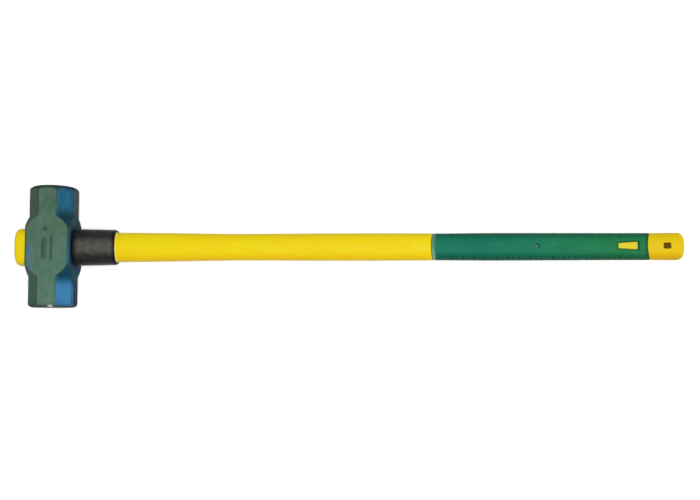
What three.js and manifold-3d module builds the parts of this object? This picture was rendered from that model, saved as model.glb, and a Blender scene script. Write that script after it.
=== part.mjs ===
// A long-handled sledgehammer: a forged head with octagonal ends on a fibreglass handle that is
// jacketed in plastic, with a moulded grip, a rubber collar below the head and caps on both ends.
// Millimetres. +X runs from the head to the butt, +Y along the head, +Z out of the upper cheek.
// The origin is the centre of the lower cheek, so the head lies flat on the plane z = 0.

import * as THREE from 'three';
import { mergeVertices } from 'three/addons/utils/BufferGeometryUtils.js';
import Module from 'manifold-3d';

const wasm = await Module();
wasm.setup();

// Driving dimensions.
const GAP = 0.3; // clearance between two pieces that touch
const OVAL_SEGMENTS = 40;
const MARGIN = 10; // how far a cutting solid runs past what it cuts

const HEAD_LENGTH = 165; // along Y, from striking face to striking face
const HEAD_WIDTH = 60; // across the flats, in X and in Z
const HEAD_EDGE = 1.8; // small chamfer on the four long edges of the square middle
const CHAMFER_FOOT = 40.5; // distance from the middle at which the octagonal end begins
const CHAMFER_TOP = 15.5; // distance from the middle at which the square section is whole
const FACE_RADIUS = 27.8; // a striking face, inside the bevel turned round it
const BEVEL_RADIUS = 32.7; // to which the turned bevel widens
const BEVEL_RUN = 4.6; // and over what length
const STAMP_DEPTH = 0.6; // blank marks pressed into the upper cheek
const STAMP_DISC = { x: -2.5, y: 22, radius: 3.2 };
const STAMP_BARS = [
  { x: -4.3, y: -3.6, width: 6.5, length: 29 },
  { x: 5.7, y: -1.4, width: 3.2, length: 33 },
];

const EYE_WIDTH = 43; // the eye's oval, on the handle side
const EYE_DEPTH = 30;
const EYE_FLARE = 4.4; // how much wider and deeper the eye is on the far side
const EPOXY_WALL = 1.7;

const CORE_RADIUS = 10;
const CORE_START = -43;
const CORE_END = 826;

const CAP_END = -49; // the outer end of the cap above the eye
const CAP_WIDTH = 50.5;
const CAP_DEPTH = 37;
const CAP_EDGE = 5.7;
const CAP_POWER = 2.8;
const CAP_PLUG_END = -8; // where the cap's plug meets the jacket inside the eye

const COLLAR_END = 88;
const COLLAR_RIM = 2.5;
const COUNTERBORE_DEPTH = 1.5; // the collar's mouth is opened a little for the sealant
const COUNTERBORE_WALL = 0.9;
const BEAD_STANDING = 1.4; // how far the sealant stands out of the collar's mouth

const SHAFT_ASPECT = 0.8; // depth of the handle's oval as a share of its width
const SHAFT_POWER = 2.35; // 2 is an ellipse; more is squarer
const GRIP_START = 521; // at the narrow sides; the broad sides reach further
const GRIP_START_ARC = 34;
const GRIP_END = 818;
const GRIP_END_ARC = 22;
const GRIP_WALL = 3.1;
const TONGUE_START = 811;
const BUTT_END = 865;
const BUTT_CORNER = 8.6;

const WINDOW_START = 772.8;
const WINDOW_END = 799.2;
const WINDOW_NARROW = 6.8;
const WINDOW_BROAD = 10.2;
const WINDOW_GROOVE = 0.5;
const GATE_X = 662.6;
const GATE_RADIUS = 2.7;
const GATE_DEPTH = 0.8;
const NUB_RADIUS = 0.9;

const HOLE_X = 839.6;
const HOLE_LENGTH = 12.8;
const HOLE_WIDTH = 9.6;
const HOLE_CORNER = 2.6;

// The handle's full width along its length, as [x, width]; between these it follows a smooth curve.
const SHAFT_WIDTHS = [
  [28, 40.8],
  [89, 39.9],
  [160, 38.7],
  [215, 36.9],
  [262, 36.0],
  [353, 37.0],
  [440, 37.4],
  [521, 37.0],
];
const GRIP_WIDTHS = [
  [512, 36.3],
  [552, 36.8],
  [600, 37.6],
  [690, 37.4],
  [770, 37.0],
  [824, 37.1],
];
const BUTT_WIDTHS = [
  [806, 37.1],
  [832, 37.0],
  [848, 37.6],
  [858, 38.0],
];
const COLLAR_WIDTHS = [
  [HEAD_WIDTH / 2 + GAP, 50.1],
  [54, 49.3],
  [COLLAR_END, 47.9],
];

// Solids from geometries and back.
function solidFrom(geometry) {
  const bare = geometry.clone();
  bare.deleteAttribute('normal');
  bare.deleteAttribute('uv');
  const merged = mergeVertices(bare, 1e-4);
  const corners = merged.index.array;
  const kept = [];
  for (let i = 0; i < corners.length; i += 3) {
    const [a, b, c] = [corners[i], corners[i + 1], corners[i + 2]];
    if (a !== b && b !== c && c !== a) kept.push(a, b, c);
  }
  const mesh = new wasm.Mesh({
    numProp: 3,
    vertProperties: new Float32Array(merged.attributes.position.array),
    triVerts: new Uint32Array(kept),
  });
  return new wasm.Manifold(mesh);
}

function geometryFrom(solid) {
  const { vertProperties, triVerts } = solid.getMesh();
  const geometry = new THREE.BufferGeometry();
  geometry.setAttribute('position', new THREE.BufferAttribute(vertProperties, 3));
  geometry.setIndex(new THREE.BufferAttribute(triVerts, 1));
  geometry.computeVertexNormals();
  return geometry;
}

function cut(body, ...cutters) {
  return cutters.reduce((rest, cutter) => rest.subtract(cutter), body);
}

function boxBetween(low, high) {
  const size = high.map((value, i) => value - low[i]);
  const box = new THREE.BoxGeometry(...size);
  box.translate(...low.map((value, i) => value + size[i] / 2));
  return solidFrom(box);
}

function roundBarAlongX(radius, start, end, segments) {
  const bar = new THREE.CylinderGeometry(radius, radius, end - start, segments);
  bar.rotateZ(Math.PI / 2);
  bar.translate((start + end) / 2, 0, 0);
  return solidFrom(bar);
}

function roundBarAlongY(radius, x, length, segments) {
  const bar = new THREE.CylinderGeometry(radius, radius, length, segments);
  bar.translate(x, 0, 0);
  return solidFrom(bar);
}

// A closed body through oval sections that stand across X, each { x, width, depth, power }.
function ovalLoft(sections) {
  const points = [];
  for (const { x, width, depth, power = SHAFT_POWER } of sections) {
    for (let i = 0; i < OVAL_SEGMENTS; i += 1) {
      const angle = (2 * Math.PI * i) / OVAL_SEGMENTS;
      const across = Math.abs(Math.cos(angle)) ** (2 / power) * Math.sign(Math.cos(angle));
      const up = Math.abs(Math.sin(angle)) ** (2 / power) * Math.sign(Math.sin(angle));
      points.push(x, (across * width) / 2, (up * depth) / 2);
    }
  }
  const last = sections.length - 1;
  points.push(sections[0].x, 0, 0, sections[last].x, 0, 0);
  const startCentre = sections.length * OVAL_SEGMENTS;
  const faces = [];
  for (let i = 0; i < OVAL_SEGMENTS; i += 1) {
    const next = (i + 1) % OVAL_SEGMENTS;
    for (let s = 0; s < last; s += 1) {
      const [a, b] = [s * OVAL_SEGMENTS + i, s * OVAL_SEGMENTS + next];
      const [c, d] = [a + OVAL_SEGMENTS, b + OVAL_SEGMENTS];
      faces.push(a, b, d, a, d, c);
    }
    faces.push(startCentre, next, i);
    faces.push(startCentre + 1, last * OVAL_SEGMENTS + i, last * OVAL_SEGMENTS + next);
  }
  const geometry = new THREE.BufferGeometry();
  geometry.setAttribute('position', new THREE.Float32BufferAttribute(points, 3));
  geometry.setIndex(faces);
  return solidFrom(geometry);
}

// The width at a place along X, on the smooth curve through a list of [x, width].
function widthAt(widths, x) {
  const curve = new THREE.SplineCurve(widths.map(([along, width]) => new THREE.Vector2(along, width)));
  const samples = curve.getPoints(20 * widths.length);
  const after = samples.findIndex((point) => point.x > x);
  if (after === 0) return samples[0].y;
  if (after < 0) return samples[samples.length - 1].y;
  const [low, high] = [samples[after - 1], samples[after]];
  return THREE.MathUtils.mapLinear(x, low.x, high.x, low.y, high.y);
}

// The handle's oval at a place along X, shrunk all round by an inset.
function sectionAt(widths, x, inset = 0) {
  const width = widthAt(widths, x);
  return { x, width: width - 2 * inset, depth: width * SHAFT_ASPECT - 2 * inset };
}

// Those ovals from start to end in equal steps.
function sectionsAlong(widths, start, end, steps, inset = 0) {
  const sections = [];
  for (let i = 0; i <= steps; i += 1) {
    sections.push(sectionAt(widths, start + ((end - start) * i) / steps, inset));
  }
  return sections;
}

// Quarter-round end on a section: toward is -1 for an end at low x and 1 for one at high x.
function roundedEnd({ x, width, depth, power }, radius, toward, steps = 4) {
  const sections = [];
  for (let i = 0; i <= steps; i += 1) {
    const angle = (Math.PI / 2) * (i / steps);
    const inset = radius * (1 - Math.cos(angle));
    const along = radius * (Math.sin(angle) - 1);
    sections.push({ x: x + toward * along, width: width - 2 * inset, depth: depth - 2 * inset, power });
  }
  return toward > 0 ? sections : sections.reverse();
}

// The eye's oval at a place along X, shrunk all round by an inset.
function eyeSection(x, inset) {
  const flare = (EYE_FLARE * (HEAD_WIDTH / 2 - x)) / HEAD_WIDTH;
  return { x, width: EYE_WIDTH + flare - 2 * inset, depth: EYE_DEPTH + flare - 2 * inset, power: 2 };
}

function eyeSolid(start, end, inset) {
  return ovalLoft([eyeSection(start, inset), eyeSection(end, inset)]);
}

// The long edges of the bar are cut to an octagon towards each end; the cut runs out to the
// square middle in a convex arc.
function cornerCutter() {
  const flat = HEAD_WIDTH / 2;
  const corner = flat * Math.SQRT2;
  const run = CHAMFER_FOOT - CHAMFER_TOP;
  const rise = corner - flat;
  const radius = (run * run + rise * rise) / (2 * rise);
  const sweep = Math.asin(run / radius);
  const outline = new THREE.Shape();
  outline.moveTo(HEAD_LENGTH / 2 + MARGIN, flat);
  outline.lineTo(CHAMFER_FOOT, flat);
  outline.absarc(CHAMFER_TOP, corner - radius, radius, Math.PI / 2 - sweep, Math.PI / 2, false);
  outline.lineTo(CHAMFER_TOP, corner + MARGIN);
  outline.lineTo(HEAD_LENGTH / 2 + MARGIN, corner + MARGIN);
  const wide = HEAD_WIDTH;
  const cutter = new THREE.ExtrudeGeometry(outline, { depth: wide, bevelEnabled: false, curveSegments: 12 });
  cutter.translate(0, 0, -wide / 2);
  cutter.rotateZ(Math.PI / 2); // the outline's length now runs along Y and its height along -X
  return cutter;
}

function cornerCutters() {
  const cutters = [];
  for (let corner = 0; corner < 4; corner += 1) {
    for (const end of [0, Math.PI]) {
      const cutter = cornerCutter();
      cutter.rotateX(end);
      cutter.rotateY(Math.PI / 4 + (corner * Math.PI) / 2);
      cutters.push(solidFrom(cutter));
    }
  }
  return cutters;
}

// What is cut from round a striking face to bevel it: a slab with a turned, rounded end left out.
function faceCutter(side) {
  const face = HEAD_LENGTH / 2;
  const steps = 4;
  const points = [new THREE.Vector2(0, -2 * BEVEL_RUN), new THREE.Vector2(BEVEL_RADIUS, -2 * BEVEL_RUN)];
  for (let step = 0; step <= steps; step += 1) {
    const share = step / steps;
    const radius = BEVEL_RADIUS - (BEVEL_RADIUS - FACE_RADIUS) * share * share;
    points.push(new THREE.Vector2(radius, BEVEL_RUN * (share - 1)));
  }
  points.push(new THREE.Vector2(FACE_RADIUS, MARGIN / 2));
  points.push(new THREE.Vector2(0, MARGIN / 2));
  const kept = new THREE.LatheGeometry(points, 48);
  const slab = new THREE.BoxGeometry(HEAD_WIDTH * 2, MARGIN / 2 + BEVEL_RUN, HEAD_WIDTH * 2);
  slab.translate(0, (MARGIN / 2 - BEVEL_RUN) / 2 - 0.01, 0);
  const geometries = [slab, kept];
  for (const geometry of geometries) {
    geometry.translate(0, face, 0);
    if (side < 0) geometry.rotateX(Math.PI);
  }
  const [slabSolid, keptSolid] = geometries.map(solidFrom);
  return slabSolid.subtract(keptSolid);
}

// Blank marks on the upper cheek: a small disc and two bars that stand across the handle.
function stampCutters() {
  const top = HEAD_WIDTH / 2;
  const disc = new THREE.CylinderGeometry(STAMP_DISC.radius, STAMP_DISC.radius, 2 * STAMP_DEPTH, 20);
  disc.rotateX(Math.PI / 2);
  disc.translate(STAMP_DISC.x, STAMP_DISC.y, top);
  const bars = STAMP_BARS.map(({ x, y, width, length }) => {
    const bar = new THREE.BoxGeometry(width, length, 2 * STAMP_DEPTH);
    bar.translate(x, y, top);
    return bar;
  });
  return [disc, ...bars].map(solidFrom);
}

function headGeometry() {
  const half = HEAD_WIDTH / 2;
  const inner = half - HEAD_EDGE;
  const square = new THREE.Shape([
    new THREE.Vector2(half, -inner),
    new THREE.Vector2(half, inner),
    new THREE.Vector2(inner, half),
    new THREE.Vector2(-inner, half),
    new THREE.Vector2(-half, inner),
    new THREE.Vector2(-half, -inner),
    new THREE.Vector2(-inner, -half),
    new THREE.Vector2(inner, -half),
  ]);
  const bar = new THREE.ExtrudeGeometry(square, { depth: HEAD_LENGTH, bevelEnabled: false });
  bar.translate(0, 0, -HEAD_LENGTH / 2);
  bar.rotateX(Math.PI / 2);
  const eye = eyeSolid(-half - MARGIN, half + MARGIN, 0);
  const body = cut(solidFrom(bar), ...cornerCutters(), faceCutter(1), faceCutter(-1), eye);
  return geometryFrom(cut(body, ...stampCutters()));
}

function coreGeometry() {
  return geometryFrom(roundBarAlongX(CORE_RADIUS, CORE_START, CORE_END, 32));
}

function coreBore(start, end) {
  return roundBarAlongX(CORE_RADIUS + GAP, start, end, 32);
}

function epoxyGeometry() {
  const reach = HEAD_WIDTH / 2 - 0.5;
  const outer = eyeSolid(-reach, reach, GAP);
  const inner = eyeSolid(-reach - MARGIN, reach + MARGIN, GAP + EPOXY_WALL);
  return geometryFrom(cut(outer, inner));
}

function eyeCapGeometry() {
  const plugInset = 2 * GAP + EPOXY_WALL;
  const headSide = -HEAD_WIDTH / 2 - GAP;
  const crown = { x: CAP_END, width: CAP_WIDTH, depth: CAP_DEPTH, power: CAP_POWER };
  const knob = ovalLoft([
    ...roundedEnd(crown, CAP_EDGE, -1, 5),
    { ...crown, x: headSide - 6 },
    { ...crown, x: headSide, width: CAP_WIDTH - 1, depth: CAP_DEPTH - 1 },
  ]);
  const plug = eyeSolid(headSide - 1, CAP_PLUG_END - GAP, plugInset);
  return geometryFrom(cut(knob.add(plug), coreBore(CORE_START - GAP, 0)));
}

// The solid to the left of the arched line in which the jacket's full section ends.
function gripStartArch(clearance) {
  const centre = GRIP_START - GRIP_START_ARC;
  return roundBarAlongY(GRIP_START_ARC - clearance, centre, 2 * HEAD_WIDTH, 96);
}

// The solid that is left of the arched seam between the grip and the butt cap.
function gripEndArch(clearance) {
  const centre = GRIP_END - GRIP_END_ARC;
  return roundBarAlongY(GRIP_END_ARC + clearance, centre, 2 * HEAD_WIDTH, 96);
}

function tenonSections(start, end, inset) {
  return sectionsAlong(GRIP_WIDTHS, start, end, 3, GRIP_WALL + inset);
}

function jacketGeometry() {
  const shoulder = HEAD_WIDTH / 2 + GAP;
  const archCentre = GRIP_START - GRIP_START_ARC;
  const spigot = eyeSolid(CAP_PLUG_END, shoulder + 1, 2 * GAP + EPOXY_WALL);
  const shaft = ovalLoft(sectionsAlong(SHAFT_WIDTHS, shoulder, archCentre, 16));
  const shaftEnd = ovalLoft(sectionsAlong(SHAFT_WIDTHS, archCentre - 1, GRIP_START, 3));
  const tenon = ovalLoft(tenonSections(archCentre, TONGUE_START - GAP, GAP));
  const full = shaft.add(shaftEnd.intersect(gripStartArch(GAP)));
  const bore = coreBore(CAP_PLUG_END - MARGIN, TONGUE_START + MARGIN);
  return geometryFrom(cut(spigot.add(full).add(tenon), bore));
}

function collarGeometry() {
  const start = HEAD_WIDTH / 2 + GAP;
  const sections = sectionsAlong(COLLAR_WIDTHS, start, COLLAR_END - COLLAR_RIM, 4);
  const mouth = { ...sections.pop(), x: COLLAR_END };
  const outer = ovalLoft([...sections, ...roundedEnd(mouth, COLLAR_RIM, 1, 3)]);
  const bore = ovalLoft(sectionsAlong(SHAFT_WIDTHS, start - 1, COLLAR_END + 1, 4, -GAP));
  const counterbore = ovalLoft(
    sectionsAlong(SHAFT_WIDTHS, COLLAR_END - COUNTERBORE_DEPTH, COLLAR_END + 1, 1, -GAP - COUNTERBORE_WALL),
  );
  return geometryFrom(cut(outer, bore, counterbore));
}

// A thin ring of sealant round the jacket in the collar's mouth.
function beadGeometry() {
  const start = COLLAR_END - COUNTERBORE_DEPTH + GAP;
  const end = COLLAR_END + BEAD_STANDING;
  const outer = ovalLoft([
    sectionAt(SHAFT_WIDTHS, start, -COUNTERBORE_WALL),
    sectionAt(SHAFT_WIDTHS, COLLAR_END, -COUNTERBORE_WALL),
    sectionAt(SHAFT_WIDTHS, end, -COUNTERBORE_WALL / 2),
  ]);
  const bore = ovalLoft(sectionsAlong(SHAFT_WIDTHS, start - 1, end + 1, 1, -GAP));
  return geometryFrom(cut(outer, bore));
}

// A trapezoid that points to the head, grown all round, standing on the handle's broad side.
function windowPrism(grow, low, high) {
  const [start, end] = [WINDOW_START - grow, WINDOW_END + grow];
  const [narrow, broad] = [WINDOW_NARROW / 2 + grow, WINDOW_BROAD / 2 + grow];
  const outline = new THREE.Shape([
    new THREE.Vector2(start, -narrow),
    new THREE.Vector2(end, -broad),
    new THREE.Vector2(end, broad),
    new THREE.Vector2(start, narrow),
  ]);
  const prism = new THREE.ExtrudeGeometry(outline, { depth: high - low, bevelEnabled: false });
  prism.translate(0, 0, low);
  return solidFrom(prism);
}

function gripOuter(inset) {
  return ovalLoft(sectionsAlong(GRIP_WIDTHS, GRIP_START - 7, GRIP_END + 2, 12, inset));
}

// A ring-shaped dimple with a small nub left standing in its middle.
function gateCutter() {
  const top = sectionAt(GRIP_WIDTHS, GATE_X).depth / 2;
  const [ring, nub] = [GATE_RADIUS, NUB_RADIUS].map((radius) => {
    const bar = new THREE.CylinderGeometry(radius, radius, 2 * GATE_DEPTH, 20);
    bar.rotateX(Math.PI / 2);
    bar.translate(GATE_X, 0, top);
    return solidFrom(bar);
  });
  return ring.subtract(nub);
}

function gripGeometry() {
  const wide = 2 * HEAD_WIDTH;
  const archCentre = GRIP_END - GRIP_END_ARC;
  const beyond = boxBetween([archCentre, -wide / 2 + 1, -wide], [GRIP_END + MARGIN, wide / 2 - 1, wide]);
  const bore = ovalLoft(tenonSections(GRIP_START - MARGIN, GRIP_END + MARGIN, 0));
  const body = cut(gripOuter(0), gripStartArch(0), beyond.subtract(gripEndArch(0)), bore);
  return geometryFrom(cut(body, windowPrism(WINDOW_GROOVE, 0, HEAD_WIDTH), gateCutter()));
}

function inlayGeometry() {
  const floor = ovalLoft(tenonSections(WINDOW_START - MARGIN, WINDOW_END + MARGIN, 0));
  return geometryFrom(cut(windowPrism(0, 0, HEAD_WIDTH / 2).intersect(gripOuter(0.1)), floor));
}

function lanyardHole() {
  const [length, width, corner] = [HOLE_LENGTH / 2, HOLE_WIDTH / 2, HOLE_CORNER];
  const outline = new THREE.Shape();
  outline.absarc(length - corner, width - corner, corner, 0, Math.PI / 2, false);
  outline.absarc(corner - length, width - corner, corner, Math.PI / 2, Math.PI, false);
  outline.absarc(corner - length, corner - width, corner, Math.PI, Math.PI * 1.5, false);
  outline.absarc(length - corner, corner - width, corner, Math.PI * 1.5, Math.PI * 2, false);
  const hole = new THREE.ExtrudeGeometry(outline, {
    depth: HEAD_WIDTH,
    bevelEnabled: false,
    curveSegments: 5,
  });
  hole.translate(HOLE_X, 0, -HEAD_WIDTH / 2);
  return solidFrom(hole);
}

function buttCapGeometry() {
  const sections = sectionsAlong(BUTT_WIDTHS, TONGUE_START, BUTT_END - BUTT_CORNER, 6);
  const last = sections.pop();
  const outer = ovalLoft([...sections, ...roundedEnd({ ...last, x: BUTT_END }, BUTT_CORNER, 1, 6)]);
  const tongue = ovalLoft(tenonSections(TONGUE_START, GRIP_END + 1, GAP));
  const body = cut(outer, gripEndArch(GAP)).add(tongue);
  const socket = coreBore(TONGUE_START - MARGIN, CORE_END + GAP);
  return geometryFrom(cut(body, socket, lanyardHole()));
}

// One finish for each kind of material.
const FINISHES = {
  headPaint: { color: 0x50705d, roughness: 0.5, metalness: 0.1 },
  glassFibre: { color: 0xc9c29a, roughness: 0.45, metalness: 0 },
  epoxy: { color: 0xb9a878, roughness: 0.3, metalness: 0 },
  yellowPlastic: { color: 0xe7d320, roughness: 0.4, metalness: 0 },
  blackRubber: { color: 0x302e30, roughness: 0.6, metalness: 0 },
  sealant: { color: 0xe4d9a0, roughness: 0.5, metalness: 0 },
  greenRubber: { color: 0x1f6f59, roughness: 0.55, metalness: 0 },
};

const PIECES = [
  ['head', headGeometry, 'headPaint'],
  ['fibreglass_core', coreGeometry, 'glassFibre'],
  ['epoxy_fill', epoxyGeometry, 'epoxy'],
  ['eye_cap', eyeCapGeometry, 'yellowPlastic'],
  ['shaft_jacket', jacketGeometry, 'yellowPlastic'],
  ['collar', collarGeometry, 'blackRubber'],
  ['collar_bead', beadGeometry, 'sealant'],
  ['grip', gripGeometry, 'greenRubber'],
  ['grip_inlay', inlayGeometry, 'yellowPlastic'],
  ['butt_cap', buttCapGeometry, 'yellowPlastic'],
];

const hammer = new THREE.Group();
for (const [name, makeGeometry, finish] of PIECES) {
  const mesh = new THREE.Mesh(makeGeometry(), new THREE.MeshStandardMaterial(FINISHES[finish]));
  mesh.name = name;
  hammer.add(mesh);
}
hammer.position.z = HEAD_WIDTH / 2;

export default hammer;
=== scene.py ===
"""Sledgehammer: the looks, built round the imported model. All lengths are in metres."""

import math

import bmesh
import bpy
from mathutils import Matrix, Vector, noise


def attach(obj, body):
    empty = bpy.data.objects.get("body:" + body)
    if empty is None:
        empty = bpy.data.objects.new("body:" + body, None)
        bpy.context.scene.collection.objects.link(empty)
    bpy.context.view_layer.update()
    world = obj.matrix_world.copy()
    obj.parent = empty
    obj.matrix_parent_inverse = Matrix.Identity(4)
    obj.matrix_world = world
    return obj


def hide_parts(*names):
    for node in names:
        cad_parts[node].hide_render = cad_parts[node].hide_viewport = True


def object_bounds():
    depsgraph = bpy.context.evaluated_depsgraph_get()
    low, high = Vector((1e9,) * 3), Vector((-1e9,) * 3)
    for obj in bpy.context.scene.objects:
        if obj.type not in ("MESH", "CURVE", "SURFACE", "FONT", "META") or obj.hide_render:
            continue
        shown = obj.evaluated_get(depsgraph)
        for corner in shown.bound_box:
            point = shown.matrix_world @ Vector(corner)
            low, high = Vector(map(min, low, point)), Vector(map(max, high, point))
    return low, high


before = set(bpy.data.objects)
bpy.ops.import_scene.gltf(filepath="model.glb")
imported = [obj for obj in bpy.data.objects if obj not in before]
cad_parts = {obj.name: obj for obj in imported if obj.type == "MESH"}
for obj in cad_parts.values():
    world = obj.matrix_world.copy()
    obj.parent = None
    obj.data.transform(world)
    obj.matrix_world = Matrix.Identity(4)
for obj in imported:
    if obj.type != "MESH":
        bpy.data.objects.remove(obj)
cad_low, cad_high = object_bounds()

# -------- the hammer's own sizes

GAP = 0.0003  # clearance between two pieces that touch
RING = 96  # points round one oval section
AXIS_Z = (cad_low.z + cad_high.z) / 2  # height of the handle's axis

HEAD_FLAT = (cad_high.z - cad_low.z) / 2  # axis to flat
HEAD_END = cad_high.y  # axis to striking face
HEAD_ARRIS = 0.0018
HEAD_FILLET = 0.0014
SIDE_POINTS = (22, 8, 104, 8, 22, 8, 22, 8)  # along each of the head's eight sides
UPPER_CHEEK = 2  # which of those sides is the upper cheek
CHAMFER_FOOT = 0.0405
CHAMFER_TOP = 0.0155
SCOOP_BLEND = 0.0012
ARRIS_BLEND = 0.0006
TURNED_FACE = 0.0278  # radius of a striking face inside its turned bevel
TURNED_FULL = 0.0327
TURNED_RUN = 0.0046
TURNED_BLEND = 0.0005
STAMP_DEPTH = 0.0006
STAMP_DISC = (-0.0025, 0.022, 0.0032)  # x, y, radius
STAMP_BARS = [  # x, y, width, length
    (-0.0043, -0.0036, 0.0065, 0.029),
    (0.0057, -0.0014, 0.0032, 0.033),
]
CHIP = Vector((0.0063, -HEAD_END, 2 * HEAD_FLAT - 0.001))  # where the paint is chipped off

EYE_WIDTH = 0.043
EYE_DEPTH = 0.030
EYE_FLARE = 0.0044
EYE_CUT = 0.035  # how far either way from the middle the eye is cut
EPOXY_WALL = 0.0017

CORE_RADIUS = 0.010
CORE_START = -0.043
CORE_END = 0.826

CAP_END = cad_low.x
CAP_WIDTH = 0.0505
CAP_DEPTH = 0.037
CAP_EDGE = 0.0057
CAP_POWER = 2.8
CAP_PLUG_END = -0.008

SEAT = HEAD_FLAT + GAP  # where the handle's pieces start, clear of the head
COLLAR_END = 0.088
COLLAR_ROOT = 0.0016  # rounding against the head
COLLAR_RIM = 0.0025
COUNTERBORE_DEPTH = 0.0015
COUNTERBORE_WALL = 0.0009
BEAD_STANDING = 0.0014

SHAFT_ASPECT = 0.8
SHAFT_POWER = 2.35
GRIP_START = 0.521
GRIP_START_ARC = 0.034
START_CENTRE = GRIP_START - GRIP_START_ARC
GRIP_STRAIGHT = GRIP_START + 0.010  # from here the grip's sections are flat
GRIP_END = 0.818
GRIP_END_ARC = 0.022
SEAM_CENTRE = GRIP_END - GRIP_END_ARC
GRIP_WALL = 0.0031
SHOULDER_RUN = 0.0042
SHOULDER_DROP = 0.0016
SEAM_EDGE = 0.0004  # how far two pieces round off where they meet
TONGUE_START = 0.811
BUTT_END = cad_high.x
BUTT_CORNER = 0.0086

WINDOW_START = 0.7728
WINDOW_END = 0.7992
WINDOW_NARROW = 0.0068
WINDOW_BROAD = 0.0102
WINDOW_GROOVE = 0.0005
INLAY_CORNER = 0.0008
INLAY_EDGE = 0.0005
INLAY_SINK = 0.0001
GATE_X = 0.6626
GATE_RADIUS = 0.0027
GATE_DEPTH = 0.0008
NUB_RADIUS = 0.0012
NUB_SHIFT = -0.0007  # the nub stands off the dimple's middle, along X and Y alike

HOLE_X = 0.8396
HOLE_LENGTH = 0.0128
HOLE_WIDTH = 0.0096
HOLE_CORNER = 0.0026
HOLE_RIM = 0.0012
HOLE_LIP = 0.00028  # how far the butt swells round the hole
BUTT_SKIN = 0.0130  # a point this far from the axis is on the outside

RIB_START = 0.5461
RIB_PITCH = 0.01537
RIB_COUNT = 17
RIB_DEPTH = 0.00055

# the width of each stretch of the handle: (place along X, width along Y)
SHAFT_WIDTHS = [
    (0.028, 0.0408), (0.089, 0.0399), (0.160, 0.0387), (0.215, 0.0369), (0.262, 0.0360),
    (0.353, 0.0370), (0.440, 0.0374), (0.521, 0.0370),
]
GRIP_WIDTHS = [
    (0.512, 0.0363), (0.552, 0.0368), (0.600, 0.0376), (0.690, 0.0374), (0.770, 0.0370),
    (0.824, 0.0371),
]
BUTT_WIDTHS = [(0.806, 0.0371), (0.832, 0.0370), (0.848, 0.0376), (0.858, 0.0380)]
COLLAR_WIDTHS = [(0.0303, 0.0501), (0.054, 0.0493), (COLLAR_END, 0.0479)]

# -------- floor, light and camera

REST_HEAD = Vector((HEAD_FLAT - HEAD_ARRIS, 0, 0))  # where the hammer touches the floor
REST_BUTT = Vector((0.8565, 0, AXIS_Z - 0.0152))
FLOOR_REACH = 9.0
FLOOR_CLEAR = 0.00005
KEY_PLACE = (1.75, -0.50, 5.5)
KEY_AIM = (0.40, 0, 0.03)
KEY_SIZE = (1.1, 1.1)
KEY_WATTS = 335
SKY_STRENGTH = 0.32
CAMERA_PLACE = (0.4077, -0.116, 1.235)
CAMERA_TILT = math.radians(3.5)
CAMERA_ROLL = math.radians(-0.1)
CAMERA_SENSOR = 36  # millimetres, like the lens
CAMERA_LENS = 45.19
CAMERA_SHIFT = 0.0396

# -------- helpers for numbers


def smooth_step(low, high, value):
    """0 below low and 1 above high, with a soft ramp between; low may be the larger."""
    t = min(max((value - low) / (high - low), 0.0), 1.0)
    return t * t * (3 - 2 * t)


def soft_max(a, b, reach):
    """The larger of a and b, eased where they are within reach of each other."""
    blend = max(reach - abs(a - b), 0.0) / reach
    return max(a, b) + blend * blend * reach / 4


def soft_min(a, b, reach):
    """The smaller of a and b, eased in the same way."""
    return -soft_max(-a, -b, reach)


def signed_power(value, power):
    """The power of a number's size, with the number's own sign."""
    return math.copysign(abs(value) ** power, value)


def steps(start, end, count):
    """count + 1 even steps from start to end."""
    return [start + (end - start) * i / count for i in range(count + 1)]


def width_at(table, x):
    """The width at x, on a smooth curve through a table of (x, width)."""
    if x <= table[0][0]:
        return table[0][1]
    if x >= table[-1][0]:
        return table[-1][1]
    i = max(k for k in range(len(table) - 1) if table[k][0] <= x)
    slopes = []
    for k in (i, i + 1):
        before, after = table[max(k - 1, 0)], table[min(k + 1, len(table) - 1)]
        slopes.append((after[1] - before[1]) / (after[0] - before[0]))
    (x0, w0), (x1, w1) = table[i], table[i + 1]
    run = x1 - x0
    t = (x - x0) / run
    return (
        w0 * (1 + 2 * t) * (1 - t) ** 2
        + w1 * t * t * (3 - 2 * t)
        + slopes[0] * run * t * (1 - t) ** 2
        - slopes[1] * run * t * t * (1 - t)
    )


def box_distance(dx, dy, corner):
    """The distance outside a rounded corner, from how far a point is past its centre each way."""
    return math.hypot(max(dx, 0), max(dy, 0)) + min(max(dx, dy), 0) - corner


# -------- helpers for rings


def straight(x):
    """For a flat ring: every point stands at x."""
    return lambda y, z: x


def arch_x(centre, radius, z):
    """Where an arch about centre stands along X, at z from the axis."""
    return centre + math.sqrt(radius * radius - z * z)


def arch(centre, radius, share=1.0, shift=0.0):
    """For a ring on that arch, flattened to share of its height and moved by shift."""
    return lambda y, z: centre + share * arch_x(0, radius, z) + shift


def oval_ring(width, depth, power, x_of):
    """One closed ring of points round the handle's axis; x_of(y, z) gives its place along X."""
    points = []
    for i in range(RING):
        angle = 2 * math.pi * i / RING
        y = signed_power(math.cos(angle), 2 / power) * width / 2
        z = signed_power(math.sin(angle), 2 / power) * depth / 2
        points.append(Vector((x_of(y, z), y, AXIS_Z + z)))
    return points


def handle_ring(table, x, inset=0.0, x_of=None):
    """The handle's oval at x, shrunk all round by inset, and flat unless x_of is given."""
    width = width_at(table, x)
    depth = width * SHAFT_ASPECT
    return oval_ring(width - 2 * inset, depth - 2 * inset, SHAFT_POWER, x_of or straight(x))


def round_ring(radius, x):
    """A circle round the handle's axis."""
    return oval_ring(2 * radius, 2 * radius, 2, straight(x))


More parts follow.
